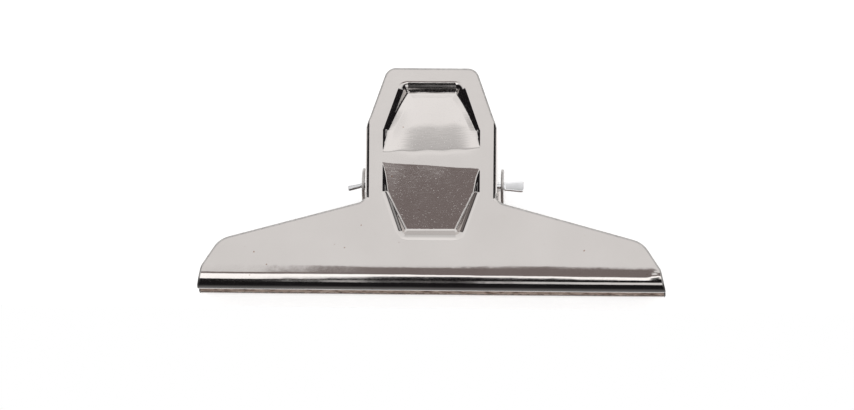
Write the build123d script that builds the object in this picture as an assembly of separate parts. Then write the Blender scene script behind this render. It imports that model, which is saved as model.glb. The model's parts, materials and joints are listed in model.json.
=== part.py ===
from build123d import *
import os
from math import acos, atan, atan2, ceil, cos, degrees, hypot, radians, sin, sqrt, tan

# Bulldog clip: two pressed sheet-steel jaws, hinged on a pin and closed by a torsion spring.
# Millimetres. The clip lies on the flat back of its rear jaw, X along the jaws, Y towards
# the handle tops, Z up. A jaw is formed in its own plate frame: X along the jaw, Y up the
# handle from the foot of the pivot, Z into the clip, with the outer face on Z = 0.

# Sheet and overall sizes
sheet = 0.8                 # thickness of both jaws
jaw_width = 125.0           # over the ends of the lips
handle_rise = 31.1          # handle top above the pivot
wing_drop = 21.8            # start of the lip's roll below the pivot
splay = 11.0                # tilt of each jaw from the plane where the lips meet, degrees

# Lip, rolled in along the lower edge of each jaw
lip_radius = 6.2            # outside of the roll
lip_offset = 3.8            # axis of the roll from the plane where the lips meet
lip_gap = 0.2               # between the two lips at rest

# Outline of the blank
handle_top_half = 11.72     # half the width of the handle's top edge, corners left sharp
handle_taper = 19.6         # lean of the handle's sides, degrees
handle_corner = 3.0
wing_slope = 15.0           # fall of the wing's upper edge, degrees
wing_root = 4.2             # wing's upper edge below the pivot, where it meets the front ear
root_fillet = 2.6
wing_end_inset = 1.45       # lip end beyond the start of the roll
wing_corner_inset = 6.3     # lip end beyond the wing's outer corner
wing_corner = 6.8           # rounding of that corner
lip_end_corner = 3.0        # rounding of the end where the roll starts

# Bent ears that carry the pivot
ear_half = 17.5             # outside of the front jaw's ears from the middle
ear_bend = 1.2              # outside radius of the bend
ear_knee_rise = 10.7        # where the front ear's upper edge turns up to its lobe
ear_knee_depth = 3.2
ear_knee_fillet = 3.0
lobe_radius = 4.66          # round end of an ear about the pivot
ear_side_gap = 0.7          # between a front ear and the rear ear outside it
ear_pass_gap = 0.3          # between a front ear and the side of the rear handle

# Recess pressed into each handle, two sloping floors that meet in a level band
recess_side = 4.6           # recess edge in from the handle's side
recess_top = 3.6            # recess edge below the handle's top
recess_foot = 7.35          # recess edge above the start of the lip's roll
recess_waist = 1.8          # lower side corners below the pivot
band_top = 9.1              # level band above the pivot
band_bottom = 5.7
recess_draft = 45.0         # lean of the recess walls, degrees
upper_depth = 2.5
lower_depth = 2.3

# Pivot pin, pinched flat at both ends
pin_diameter = 1.6
pin_clearance = 0.06        # radial, in the ears
pin_tail_left = 3.95        # beyond the rear ear
pin_tail_right = 5.25
pin_neck = 0.1              # still round beyond the rear ear
pin_pinch = 1.5             # from round to flat
tail_width = 3.5
tail_thickness = 0.8
tail_corner = 0.6
tail_roll_left = 54.0       # turn of the flat about the pin, degrees
tail_roll_right = 18.0
tail_droop_left = 13.0      # bend of the left tail from the pin's line towards the lips, degrees

# Torsion spring
wire_diameter = 1.6
wire_sides = 16             # flats that the round section is drawn with
coil_radius = 3.2           # to the middle of the wire
coil_gap = 0.6              # between turns
coil_turns = 5              # whole turns, beside the part turn between the two arms
arm_inset = 1.5             # arm tip below the foot of the recess's top wall
arm_foot = 6.0              # length of the tip that lies along the recess floor
arm_bend = 4.0              # bend between the arm and its tip
arm_clearance = 0.3         # arm tip from the recess floor

# Worked out from the sizes above
splay_sin = sin(radians(splay))
splay_cos = cos(radians(splay))
taper = tan(radians(handle_taper))
slope = tan(radians(wing_slope))
lip_end_half = jaw_width / 2
pivot_depth = lip_radius + (lip_offset + wing_drop * splay_sin) / splay_cos
lip_sweep = degrees(acos((lip_gap / 2 - lip_offset) / lip_radius)) - splay
lug_half = ear_half + ear_side_gap + sheet    # outside of the rear jaw's ears
pin_hole = pin_diameter / 2 + pin_clearance
recess_half = ear_half - recess_side
recess_top_y = handle_rise - recess_top
recess_foot_y = recess_foot - wing_drop
recess_shoulder_y = handle_rise - (ear_half - handle_top_half) / taper
draft_run = tan(radians(recess_draft))
upper_slope = upper_depth / (recess_top_y - upper_depth * draft_run - band_top)
lower_slope = lower_depth / (band_bottom - recess_foot_y - lower_depth * draft_run)
clear = 2 * sheet           # how far a cutting solid runs past what it cuts

# Half a turn about this line through the pivot takes the rear jaw's frame to the front jaw's
facing_axis = Axis((0, 0, pivot_depth), (0, splay_cos, splay_sin))


def handle_side(y):
    """Half the width of the tapered handle at a height above the pivot."""
    return handle_top_half + (handle_rise - y) * taper


def wing_edge(x):
    """Height of the wing's upper edge at a distance from the middle."""
    return -wing_root - (x - ear_half) * slope


def root_top(x):
    """Height where the rounding between the handle's side at x and the wing starts."""
    return wing_edge(x) + root_fillet * tan(radians(90 - wing_slope) / 2)


def both_sides(solid):
    """A solid together with its mirror image on the other side of the clip."""
    return solid + mirror(solid, about=Plane.YZ)


def lip_point(radius, turn):
    """Point of the lip's roll in the plate frame, as height and depth."""
    angle = radians(turn)
    return (-wing_drop - radius * sin(angle), lip_radius - radius * cos(angle))


def formed_strip():
    """The jaw's side profile, a flat plate that ends in the rolled lip, along the whole jaw."""
    inside = lip_radius - sheet
    top = handle_rise + clear
    edges = [
        Line((top, 0), lip_point(lip_radius, 0)),
        ThreePointArc(*[lip_point(lip_radius, lip_sweep * part) for part in (0, 0.5, 1)]),
        Line(lip_point(lip_radius, lip_sweep), lip_point(inside, lip_sweep)),
        ThreePointArc(*[lip_point(inside, lip_sweep * part) for part in (1, 0.5, 0)]),
        Line(lip_point(inside, 0), (top, sheet)),
        Line((top, sheet), (top, 0)),
    ]
    return extrude(Plane.YZ * make_face(edges), amount=lip_end_half + clear, both=True)


def blank_outline(side):
    """Outline of a jaw seen square on, given the right edge of its handle from the top down."""
    below = wing_drop + lip_radius + clear
    flare = wing_end_inset / lip_radius
    end_corner = lip_end_half - wing_corner_inset
    right = [((handle_top_half, handle_rise), handle_corner)]
    right += side
    right += [
        ((side[-1][0][0], wing_edge(side[-1][0][0])), root_fillet),
        ((end_corner, wing_edge(end_corner)), wing_corner),
        ((lip_end_half - wing_end_inset, -wing_drop), lip_end_corner),
        ((lip_end_half + flare * clear, -below), 0),
    ]
    corners = right + [((-x, y), radius) for (x, y), radius in reversed(right)]
    line = FilletPolyline(*[at for at, _ in corners], radius=[r for _, r in corners], close=True)
    return extrude(make_face(line.edges()), amount=2 * lip_radius, dir=(0, 0, 1))


def recess_prism(grow):
    """Tapered prism inside the recess walls, or inside their far face when grown."""
    shoulder = handle_side(recess_top_y) - recess_side
    foot = recess_half - (-recess_waist - recess_foot_y) * taper
    right = [
        (foot, recess_foot_y),
        (recess_half, -recess_waist),
        (recess_half, recess_shoulder_y),
        (shoulder, recess_top_y),
    ]
    face = make_face(Polyline(*right, *[(-x, y) for x, y in reversed(right)], close=True))
    if grow:
        face = offset(face, amount=grow, kind=Kind.INTERSECTION)
    return extrude(face, amount=upper_depth + lower_depth, dir=(0, 0, 1), taper=recess_draft)


def floor_wedges(lift):
    """The space above the two sloping recess floors, moved inwards along their normals."""
    wedges = []
    for band, run, fall in (
        (band_top, recess_top_y + clear - band_top, upper_slope),
        (band_bottom, recess_foot_y - clear - band_bottom, -lower_slope),
    ):
        deeper = lift * sqrt(1 + fall * fall)
        start = band - deeper / fall
        corners = [(start, 0), (band + run, 0), (band + run, run * fall + deeper)]
        face = Plane.YZ * make_face(Polyline(*corners, close=True))
        wedges.append(extrude(face, amount=ear_half, both=True))
    return wedges


def pressed(plate):
    """A plate with the recess pressed into it, its far side standing out inside by the sheet."""
    boss = recess_prism(sheet / cos(radians(recess_draft)))
    pocket = recess_prism(0)
    for wedge in floor_wedges(sheet):
        plate = plate + (boss & wedge)
    for wedge in floor_wedges(0):
        plate = plate - (pocket & wedge)
    return plate


def tangent_angle(outside, side):
    """Direction from the pivot, in radians, of the lobe's point that a line from outside touches."""
    rise = outside[0]
    depth = outside[1] - pivot_depth
    return atan2(depth, rise) + side * acos(lobe_radius / hypot(rise, depth))


def lobe_point(angle):
    """Point of an ear's round end, as height and depth."""
    return (lobe_radius * cos(angle), pivot_depth + lobe_radius * sin(angle))


def bent_ear(outer, edge, foot):
    """One ear, bent up from the plate: edge is its upper side, foot the height of its lower side."""
    inner = outer - sheet
    bend = outer - ear_bend
    inside = ear_bend - sheet
    top = pivot_depth + lobe_radius + clear
    half = sqrt(0.5)
    section = [
        ThreePointArc((bend, 0), (bend + ear_bend * half, ear_bend * (1 - half)), (outer, ear_bend)),
        Line((outer, ear_bend), (outer, top)),
        Line((outer, top), (inner, top)),
        Line((inner, top), (inner, ear_bend)),
        ThreePointArc((inner, ear_bend), (bend + inside * half, ear_bend - inside * half), (bend, sheet)),
        Line((bend, sheet), (bend, 0)),
    ]
    strip = extrude(Plane.XZ * make_face(section), amount=handle_rise, both=True)
    start = tangent_angle(edge[-1], 1)
    end = tangent_angle((foot, 0), -1) + radians(360)
    lobe = [lobe_point(angle) for angle in (start, (start + end) / 2, end)]
    upper = Line(edge[0], lobe[0])
    if len(edge) > 1:
        upper = FilletPolyline(*edge, lobe[0], radius=ear_knee_fillet)
    side = [*upper.edges(), ThreePointArc(*lobe), Line(lobe[2], (foot, 0)), Line((foot, 0), edge[0])]
    ear = strip & extrude(Plane.YZ * make_face(side), amount=outer + clear)
    return ear - Plane.YZ.offset(bend) * Cylinder(
        pin_hole, 2 * ear_bend, align=(Align.CENTER, Align.CENTER, Align.MIN)
    ).moved(Location((0, pivot_depth, 0)))


def front_plate():
    """Front jaw: its ears carry on the line of the handle's sides and turn up to the pivot."""
    bend = ear_half - ear_bend
    start = handle_rise - (bend - handle_top_half) / taper
    foot = root_top(bend)
    blank = formed_strip() & blank_outline([((bend, start), 0)])
    edge = [(start, 0), (ear_knee_rise, ear_knee_depth)]
    return pressed(blank) + both_sides(bent_ear(ear_half, edge, foot))


def rear_plate():
    """Rear jaw: its handle passes between the front ears and its own ears stand outside them."""
    bend = lug_half - ear_bend
    side = ear_half - sheet - ear_pass_gap
    start = handle_rise - (side - handle_top_half) / taper
    shelf = lobe_radius
    foot = root_top(bend)
    outline = [
        ((side, start), handle_corner),
        ((side, shelf), 0),
        ((bend, shelf), 0),
    ]
    blank = formed_strip() & blank_outline(outline)
    return pressed(blank) + both_sides(bent_ear(lug_half, [(shelf, 0)], foot))


def pin_tail(hand, reach, roll, droop):
    """One end of the pin from its round neck to the pinched flat; hand is the end's side."""
    turn = radians(roll)
    root = Vector(hand * (lug_half + pin_neck), 0, pivot_depth)
    to_lips = -facing_axis.direction
    bend = Axis((0, 0, 0), Vector(hand, 0, 0).cross(to_lips))
    along = Vector(hand, 0, 0).rotate(bend, droop)
    across = Vector(0, cos(turn), -sin(turn)).rotate(bend, droop)
    end = root + along * pin_pinch
    length = reach - pin_neck - pin_pinch
    neck = Plane(root, x_dir=across, z_dir=(hand, 0, 0)) * Circle(pin_diameter / 2)
    flat = Plane(end, x_dir=across, z_dir=along) * SlotOverall(tail_width, tail_thickness)
    plan = Rectangle(tail_width, length, align=(Align.CENTER, Align.MIN))
    plan = fillet(plan.vertices().group_by(Axis.Y)[-1], tail_corner)
    plan = Plane(end, x_dir=across, z_dir=across.cross(along)) * plan
    tail = extrude(flat, amount=length, dir=along) & extrude(plan, amount=tail_thickness, both=True)
    return loft([neck, flat]) + tail


def pivot_pin():
    """Pin through both pairs of ears, held by its two flat tails."""
    shank = Plane.YZ * Cylinder(pin_diameter / 2, 2 * (lug_half + pin_neck))
    pin = shank.moved(Location((0, 0, pivot_depth)))
    pin = pin + pin_tail(-1, pin_tail_left, tail_roll_left, tail_droop_left)
    return pin + pin_tail(1, pin_tail_right, tail_roll_right, 0)


def biarc(start, start_way, end, end_way):
    """Two tangent arcs from one point and direction to another."""
    span = end - start
    ways = start_way + end_way
    spread = 2 * (1 - start_way.dot(end_way))
    reach = (-span.dot(ways) + sqrt(span.dot(ways) ** 2 + spread * span.dot(span))) / spread
    joint = (start + end + (start_way - end_way) * reach) / 2
    first = TangentArc(start, joint, tangent=start_way)
    return [first, TangentArc(joint, end, tangent=first % 1)]


def spring_path():
    """The spring's centre line: rear arm, turns wound towards the front jaw, front arm."""
    pitch = wire_diameter + coil_gap
    tilt = atan(upper_slope)
    floor_gap = (sheet + wire_diameter / 2 + arm_clearance) / cos(tilt)
    arm_reach = recess_top_y - upper_depth * draft_run - arm_inset
    tip = Vector(0, arm_reach, (arm_reach - band_top) * upper_slope + floor_gap)
    heel = tip - Vector(0, cos(tilt), sin(tilt)) * arm_foot
    rise = heel.Y
    depth = heel.Z - pivot_depth
    leave = atan2(depth, rise) - acos(coil_radius / hypot(rise, depth))
    arrive = 2 * radians(splay) - leave
    sweep_angle = (leave - arrive) % radians(360) + radians(360) * coil_turns
    half = pitch * sweep_angle / radians(360) / 2
    lean = pitch / radians(360)

    def coil_point(angle):
        share = (leave - angle) / sweep_angle
        return Vector(half - 2 * half * share, coil_radius * cos(angle), pivot_depth + coil_radius * sin(angle))

    def coil_way(angle, across):
        return Vector(-across, coil_radius * sin(angle), -coil_radius * cos(angle)).normalized()

    steps = ceil(sweep_angle / radians(180))
    angles = [leave - sweep_angle * step / steps for step in range(steps + 1)]
    ways = [coil_way(angle, lean) for angle in angles]
    ways[0] = coil_way(angles[0], 0)
    ways[-1] = coil_way(angles[-1], 0)
    points = [coil_point(angle) for angle in angles]
    side = Vector(half, 0, 0)
    arm = FilletPolyline(tip + side, heel + side, points[0], radius=arm_bend)
    edges = list(arm.edges())
    for step in range(steps):
        edges += biarc(points[step], ways[step], points[step + 1], ways[step + 1])
    edges += [edge.rotate(facing_axis, 180) for edge in reversed(arm.edges())]
    return Wire([Edge(edge.wrapped) for edge in edges])


def least_gap(path):
    """Least gap of the spring's wire to itself, measured on points along its line."""
    count = 1500
    points = [path @ (index / count) for index in range(count + 1)]
    apart = ceil(radians(180) * coil_radius / (path.length / count))
    near = min(
        (points[j] - points[i]).length
        for i in range(0, count + 1, 2)
        for j in range(i + apart, count + 1)
    )
    return near - wire_diameter


def torsion_spring():
    """Round wire along the spring's line."""
    path = spring_path()
    print(f"torsion spring: wire length {path.length:.1f} mm, least gap to itself {least_gap(path):.2f} mm")
    section = Plane(path @ 0, z_dir=path % 0) * RegularPolygon(wire_diameter / 2, wire_sides)
    return sweep(section, path=path)


parts = {
    "rear_jaw": rear_plate(),
    "front_jaw": front_plate().rotate(facing_axis, 180),
    "pivot_pin": pivot_pin(),
    "torsion_spring": torsion_spring(),
}

# The origin is the middle of the clip's footprint
boxes = [part.bounding_box() for part in parts.values()]
middle_y = (min(box.min.Y for box in boxes) + max(box.max.Y for box in boxes)) / 2

os.makedirs("parts", exist_ok=True)
for name, part in parts.items():
    placed = part.moved(Location((0, -middle_y, 0)))
    export_step(placed, f"parts/{name}.step")
    box = placed.bounding_box()
    print(f"{name}: {box.min} to {box.max}, volume {placed.volume:.1f}")
print(f"pivot at Y {-middle_y:.4f}, Z {pivot_depth:.4f}; lip sweep {lip_sweep:.2f} degrees")
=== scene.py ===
import json
from collections import namedtuple
from math import acos, asin, atan, atan2, ceil, cos, hypot, pi, radians, sin, sqrt, tan

import bpy
import numpy as np
from mathutils import Matrix, Vector
from mathutils.geometry import delaunay_2d_cdt


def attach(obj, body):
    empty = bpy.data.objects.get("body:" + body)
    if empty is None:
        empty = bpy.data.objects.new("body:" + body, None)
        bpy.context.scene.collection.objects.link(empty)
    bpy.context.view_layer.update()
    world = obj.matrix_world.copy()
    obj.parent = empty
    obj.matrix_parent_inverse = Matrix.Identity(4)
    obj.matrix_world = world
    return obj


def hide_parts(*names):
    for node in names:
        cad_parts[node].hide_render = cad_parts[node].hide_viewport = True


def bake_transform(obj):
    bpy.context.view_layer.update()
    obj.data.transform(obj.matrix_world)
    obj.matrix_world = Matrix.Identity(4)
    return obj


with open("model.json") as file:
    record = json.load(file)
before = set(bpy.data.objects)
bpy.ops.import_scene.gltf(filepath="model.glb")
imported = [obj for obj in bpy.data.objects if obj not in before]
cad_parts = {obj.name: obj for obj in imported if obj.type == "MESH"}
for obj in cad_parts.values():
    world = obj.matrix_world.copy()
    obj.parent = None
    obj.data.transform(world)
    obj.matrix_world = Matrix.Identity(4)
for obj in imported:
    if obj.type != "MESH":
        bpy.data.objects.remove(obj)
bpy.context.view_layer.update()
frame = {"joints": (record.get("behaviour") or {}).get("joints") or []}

# Bulldog clip. Lengths are millimetres until a mesh is placed. A jaw is drawn on its flat blank
# (x along the jaw, v up the handle from the pivot) and formed from there: the lip rolls in below,
# the ears bend in at the sides, the recess is pressed in.
MM_PER_METRE = 1000
SHEET = 0.8
JAW_HALF = 62.5
HANDLE_RISE = 31.1
WING_DROP = 21.8
SPLAY = radians(11)
LIP_RADIUS = 6.2
LIP_OFFSET = 3.8
LIP_GAP = 0.2
LIP_LEAD = 1.5
HANDLE_TOP_HALF = 11.72
HANDLE_LEAN = radians(19.6)
TAPER = tan(HANDLE_LEAN)
HANDLE_CORNER = 3.0
WING_SLOPE = radians(15)
WING_ROOT = 4.2
ROOT_FILLET = 2.6
WING_END_INSET = 1.45
WING_CORNER_INSET = 6.3
WING_CORNER = 6.8
LIP_END_CORNER = 3.0
LIP_END_SHARES = (0.25, 0.5, 0.75, 1.0)
EAR_HALF = 17.5
LUG_HALF = 19.0
EAR_BEND = 1.2
EAR_PASS_GAP = 0.3
EAR_TOP_CORNER = 2.0
KNEE_RISE = 10.7
KNEE_DEPTH = 3.2
KNEE_FILLET = 3.0
LOBE_RADIUS = 4.66
PIN_RADIUS = 0.8
PIN_HOLE = 0.86
HOLE_SIDES = 24

# How the bend of an ear runs out into the wing below it
ROOT_OUT = 1.1
RUN_OUT_LOW = -3.9
RUN_OUT_HIGH = -1.9
RUN_OUT_LEAN = 0.195

# Rounding of the sheared edge, across the sheet's face and into its thickness
EDGE_RUN = 0.45
EDGE_FALL = 0.26
EDGE_PIECES = 4
EDGE_PROBE = 0.01

# Recess: outline and wall, which has a shoulder, a slope and a steeper foot
RECESS_HALF = 12.9
RECESS_TOP = 27.5
RECESS_FOOT = -14.45
RECESS_SHOULDER = HANDLE_RISE - (EAR_HALF - HANDLE_TOP_HALF) / TAPER
RECESS_WAIST = 1.8
RECESS_CORNERS = (2.2, 0.08, 0.08, 2.6)
CORNER_FADE = 2.4
SHARPEST = 0.1
SHOULDER_SLOPE = 0.36
SHOULDER_WIDTH = 0.5
WALL_SLOPE = 0.8
WALL_BLEND = 0.2
STEEP_SLOPE = 1.0
STEEP_FROM = 1.4
STEEP_BLEND = 0.03
PLAIN_BLEND = 0.3
PLAIN_RISE = 3
RIM_ROUND = 0.07
FOOT_ROUND = 0.3
FOOT_SHARE = 0.8

# Two facets of the recess's floor either side of a level band; the lower one turns as it falls
BAND_BOTTOM = 5.27
BAND_BOTTOM_TILT = 0.0578
BAND_TOP_TILT = -0.0427
LOWER_SLOPE = 0.1289
LOWER_TURN = 2.2
LOWER_TURN_RUN = 9
CREASE = 0.1
PRESSED_FROM = 0.05

# Bends of the upper facet from the band upwards: height, spread and the slope that each adds
SIDE_BENDS = ((9.5, 0.3, 0.1667),)
MIDDLE_BENDS = ((8.8, 1.2, 0.045), (9.5, 0.25, 0.02), (12.8, 6.4, 0.045), (19.0, 3.8, 0.168))
MIDDLE_AT = -1.2
MIDDLE_INSIDE = 4.5
MIDDLE_OUTSIDE = 14.0

# Flatter margin round the upper facet, between the foot of the wall and a faint crease
MARGIN = 1.5
MARGIN_CREASE = 0.08
MARGIN_DROP = 0.18
MARGIN_HEIGHTS = (11, 20)

# Waves of the sheet and of the band's edges: size, turn per millimetre along and up, and start
LONG_WAVE_ALONG = (0.010, 0.21, 0.0, 0.9)
LONG_WAVE_UP = (1.0, 0.0, 0.17, 0.4)
SLANTED_WAVE = (0.003, 0.47, -0.31, 2.0)
FINE_WAVE = (0.001, 1.13, 0.57, 0.0)
WAVE_MEAN = 0.014
BAND_TOP_WAVE = (0.12, 0.9, 0.0, 0.6)
BAND_BOTTOM_WAVE = (0.05, 0.4, 0.0, 1.0)

# Slight bow of one wing, and the knock that flattens the end of the other's lip
BOW_SLOPE = 0.005
BOW_FROM = 28.0
BOW_SPREAD = 16.0
KNOCK_DEPTH = 0.13
KNOCK_BLEND = KNOCK_DEPTH / 3
KNOCK_HEIGHTS = (22.9, 25.2)
KNOCK_ENDS = (57.6, 61.2)

# Materials of a jaw by number, and the roll from which its lip's end is painted dark as shade
PLATED, SHEARED, PRESSED, LIP_SHADE = 0, 1, 2, 3
LIP_SHADE_FROM = radians(93)

PIVOT = Vector(frame["joints"][0]["pos_m"]) * MM_PER_METRE
LIP_SWEEP = acos((LIP_GAP / 2 - LIP_OFFSET) / LIP_RADIUS) - SPLAY
BEND_LENGTH = EAR_BEND * pi / 2
LOBE_OUT = PIVOT.z - EAR_BEND + BEND_LENGTH

# Points of the blank, closer where it is curved: rows and columns as (from, to, step) or a count
OUTLINE_SPACING = 0.7
CORNER_STEP = radians(9)
SHORTEST = 0.02
MERGE_WITHIN = 1e-7
BORDER_CLEAR = 0.25
RING_INSETS = (-0.3, 5.3, 0.16)
RING_CORNERS = (2.5, 1.0, 1.0, 1.5)
RING_SPACING = 0.42
RINGS_BELOW = 22
ALL_RINGS_ABOVE = 10.8
FACET_COLUMNS = (-9.6, 9.61, 0.6)
FACET_ROWS = (-11.0, 24.4, 0.6)
CREASES_FROM, CREASES_TO = 3.7, 11.1
CREASE_COLUMNS = (-12.2, 12.21, 0.5)
LOWER_CREASE_ROWS = (3.9, 6.6, 0.16)
UPPER_CREASE_ROWS = (7.9, 10.9, 0.16)
BAND_POINTS = ((-9, -3, 3, 9), (6.9, 7.5))
UPPER_FROM, UPPER_CLEAR = 11.2, 5.4
BAND_FROM, BAND_CLEAR = 3.5, 0.5
LOWER_CLEAR = 3.3
PLATE_COLUMNS = (-61, 61.1, 2.0)
PLATE_ROWS = (-21.0, 30.9, 1.7)
PLATE_CLEAR = 0.7
BEND_CLEAR = 0.6
WING_CLEAR = 0.8
LIP_COLUMNS = ((-62, -55.9, 0.8), (-54, 54.1, 2.0), (56, 62.1, 0.8))
LIP_ROWS = 43
LIP_SAMPLES = 4000
LIP_SPARE = 0.5
BEND_COLUMNS = 12
BEND_ROWS = (-5.0, 19.5, 0.45)
EAR_COLUMNS = (1.1, 17, 1.2)
EAR_ROWS = (-5, 12, 1.2)

# Torsion spring: round wire, two arms and the turns between them
WIRE_RADIUS = 0.8
WIRE_SIDES = 20
WIRE_SIDE_HINT = (1, 0.2, 0.1)
COIL_RADIUS = 3.2
COIL_PITCH = 2.2
COIL_TURNS = 5
TURN_PIECES = 36
ARM_INSET = 1.5
ARM_FOOT = 6.0
ARM_BEND = 4.0
ARM_CLEARANCE = 0.3
ARM_PIECES = 6
LEG_PIECES = 10
CAD_BAND_TOP = 9.1
CAD_UPPER_DEPTH = 2.5

# Chamfer of the wire's ends: distance from the end and share of the radius
WIRE_CHAMFER = ((0.0, 0.72), (0.1, 0.92), (0.25, 1.0))

# Pivot pin: a round shank, staked and pinched flat at both ends
PIN_SIDES = 40
SHANK_RINGS = 17
SHARP_FROM = radians(38)
TAIL_WIDTH = 3.5
TAIL_THICKNESS = 0.8
TAIL_CORNER = 0.6
TAIL_ROOT = 2.6
TAIL_SQUARENESS = 0.78
TAIL_HOLLOW = 0.5
HOLLOW_POWER = 8
TAIL_RINGS = 7
TAIL_CORNER_RINGS = 8
PINCH_STATIONS = (0.03, 0.08, 0.14, 0.2, 0.26, 0.34, 0.42)
PINCH_START, PINCH_END = -0.3, 0.5
FAN_START = 0.4
COLLAR = 0.16
COLLAR_RISE = (0.02, 0.1)
COLLAR_FALL = (0.2, 0.36)
DROOP_RUN = (0.1, 0.9)
LEFT_REACH, LEFT_ROLL, LEFT_DROOP = 3.95, radians(54), radians(13)
RIGHT_REACH, RIGHT_ROLL = 5.25, radians(18)

# Camera square to the front jaw's plate, a little to the right, far off with a long lens
IMAGE_WIDTH = 854
PIXEL = 0.2650
DISTANCE = 1200.0
SENSOR = 36
CLIP_METRES = (0.05, 20)
YAW, PITCH, ROLL = radians(2.57), radians(-0.27), radians(0.5)
AIM = (1.33, -5.25, 0.0)
SHIFT_RIGHT, SHIFT_UP = 1.22, 0.32
TO_CAMERA = Vector((0, -sin(2 * SPLAY), cos(2 * SPLAY)))
PHOTO_UP = Vector((0, cos(2 * SPLAY), sin(2 * SPLAY)))
PHOTO_RIGHT = Vector((1, 0, 0))

# Colour sockets of a Mix node by number
MIX_A, MIX_B, MIX_RESULT = 6, 7, 2

# Noises of the materials: features per metre, detail and the detail's roughness
CLOUD_NOISE = (60, 4)
RUST_NOISE = (900, 1)
HAZE_NOISE = (140, 5, 0.65)
DOT_NOISE = (3400, 1)
LINE_NOISE = (4000, 2)
RIPPLE_NOISE = (420, 2)
GRAIN_NOISE = (2600, 2)
SHEAR_NOISE = (1400, 3)
BLOTCH_NOISE = (1300, 4, 0.65)
DRAWN_NOISE = (1800, 3)
WIRE_CLOUD_NOISE = (350, 4, 0.6)

# Stretch of a noise: share of its features kept along each axis
LINE_STRETCH = (0.09, 1, 1)
RIPPLE_STRETCH = (0.55, 1, 1)
GRAIN_STRETCH = (0.2, 1, 1)
BLOTCH_STRETCH = (0.35, 1, 1)
PIN_STRETCH = (0.15, 1, 1)
SPRING_STRETCH = (1, 0.6, 0.6)

# Roughness by noise: noise from and to, roughness from and to
HAZE = (0.3, 0.75, 0.05, 0.10)
DOTS = (0.67, 0.77, 0, 0.35)
LINES = (0.55, 0.75, 0, 0.07)
SHEAR_ROUGHNESS = (0.3, 0.7, 0.25, 0.38)
LIP_SHADE_ROUGHNESS = (0.3, 0.7, 0.55, 0.3)
PIN_ROUGHNESS = (0.3, 0.7, 0.1, 0.2)
SPRING_ROUGHNESS = (0.3, 0.7, 0.2, 0.36)

# Bump heights in metres
RIPPLE_BUMP = 0.000006
PLATE_GRAIN_BUMP = 0.0000022
PRESSED_GRAIN_BUMP = 0.0000052
SHEAR_BUMP = 0.000012
LIP_SHADE_BUMP = 0.00005
DRAWN_BUMP = 0.000008
WIRE_BUMP = 0.00001

# Colours by noise: place and colour
NICKEL = ((0.3, (0.640, 0.605, 0.585)), (0.7, (0.675, 0.640, 0.620)))
RUST = (0.35, 0.24, 0.18)
RUST_LIMITS = (0.785, 0.825)
SHEARED_STEEL = ((0.3, (0.38, 0.365, 0.355)), (0.7, (0.53, 0.51, 0.495)))
# Mottled browns painted on the lips' curled ends as shade
LIP_SHADE_TONES = ((0.34, (0.16, 0.105, 0.08)), (0.5, (0.42, 0.31, 0.255)), (0.66, (0.62, 0.5, 0.43)))
LIP_SHADE_METALLIC = 0.35
PIN_STEEL = ((0.3, (0.8, 0.8, 0.81)), (0.7, (0.9, 0.9, 0.91)))
# Grey painted on the pin's left end as shade
PIN_LEFT_SHADE = (0.44, 0.44, 0.45)
SPRING_STEEL = ((0.3, (0.38, 0.37, 0.37)), (0.7, (0.5, 0.49, 0.48)))

# Studio: soft panels by direction in the world, as bright metal shows them. Height is the angle in
# degrees above the line square to the front jaw, side is the share along the jaws, and lean is the
# rise for each step out along them. Panels are (height, tone), their edges (side, height).
WHITE = (1, 1, 1)
BLACK = (0.012, 0.011, 0.012)
BROWN = (0.235, 0.2, 0.195)
LAMP = (1.55, 1.55, 1.55)
LOW_PANEL = ((-180, 0.3), (-150, 0.26), (-126, 0.12), (-110, BLACK), (-90, BLACK))
HIGH_PANEL = (
    (-30, 0.95), (2, 0.95), (3.5, 1.1), (5.5, 1.1), (6.3, 0.45), (7.5, 0.62), (11, 0.72),
    (13.5, 0.95), (15, 1.15), (60, 1.12), (78, 0.8), (92, 0.5), (112, 0.8),
)
LAMP_FOOT = (
    (-0.085, -66), (-0.063, -51), (-0.045, -44.5), (-0.026, -46), (-0.0105, -53), (0.002, -56),
)
CARD_FOOT = ((-0.085, -38), (-0.063, -35), (-0.045, -36.5), (0.002, -41))
CARD_TOP = (
    (-0.087, -29), (-0.085, -29), (-0.083, -24), (-0.0795, -13), (-0.076, -4.5), (-0.045, -9.0),
    (-0.026, -3.2), (-0.0105, -3.4), (0.002, -7.5),
)
EDGE_DEEPEST = 100
EDGE_BLUR = 0.8
NARROW = 0.25

# Low strip light: its height and half height, and its strength by side
LOW_LIGHT_AT = -75.5
LOW_LIGHT_HALF = (5, 8)
LOW_LIGHT = (
    (-0.075, 0.0), (-0.068, 0.9), (-0.0625, 0.6), (-0.0585, 0.045), (-0.031, 0.045), (-0.027, 0.8),
    (0.01, 1.0),
)

# The room beside the panels by the world's height, its foot, and the panels' soft sides
ROOM = ((-1.0, 0.3), (-0.2, 0.4), (0.05, 0.7), (0.3, 0.95), (1.0, 1.05))
ROOM_FOOT = (-60, -66)
PANELS_LEFT = (-0.2, -0.14)
PANELS_RIGHT = (0.24, 0.16)

# Cards beyond the jaws' ends: lean from and to, side from and to
LOWER_END_CARD = (-0.46, -0.23, 0.5, 1.1)
UPPER_END_CARD = (0.23, 0.46, 0.82, 1.1)
DARK_CARDS = ((-0.25, 0.1, 0.45, 0.9), (-0.06, 0.1, 0.28, 0.5), (-0.04, 0.04, 0.88, 1.1))
CARD_LEAN_BLUR = 0.015
CARD_START_BLUR = 0.05
CARD_END_BLUR = 0.02
RIGHT_END = ((-82, 0.85), (-74, BLACK), (46, BLACK), (50, 0.42), (62, 0.42), (68, BLACK))
LEFT_END = ((44, BLACK), (50, (0.2, 0.18, 0.175)))
LEFT_TO_RIGHT = (-0.1, 0.1)
END_SIDES = (0.88, 0.9)
DIFFUSE_LEVEL = 0.85

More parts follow.
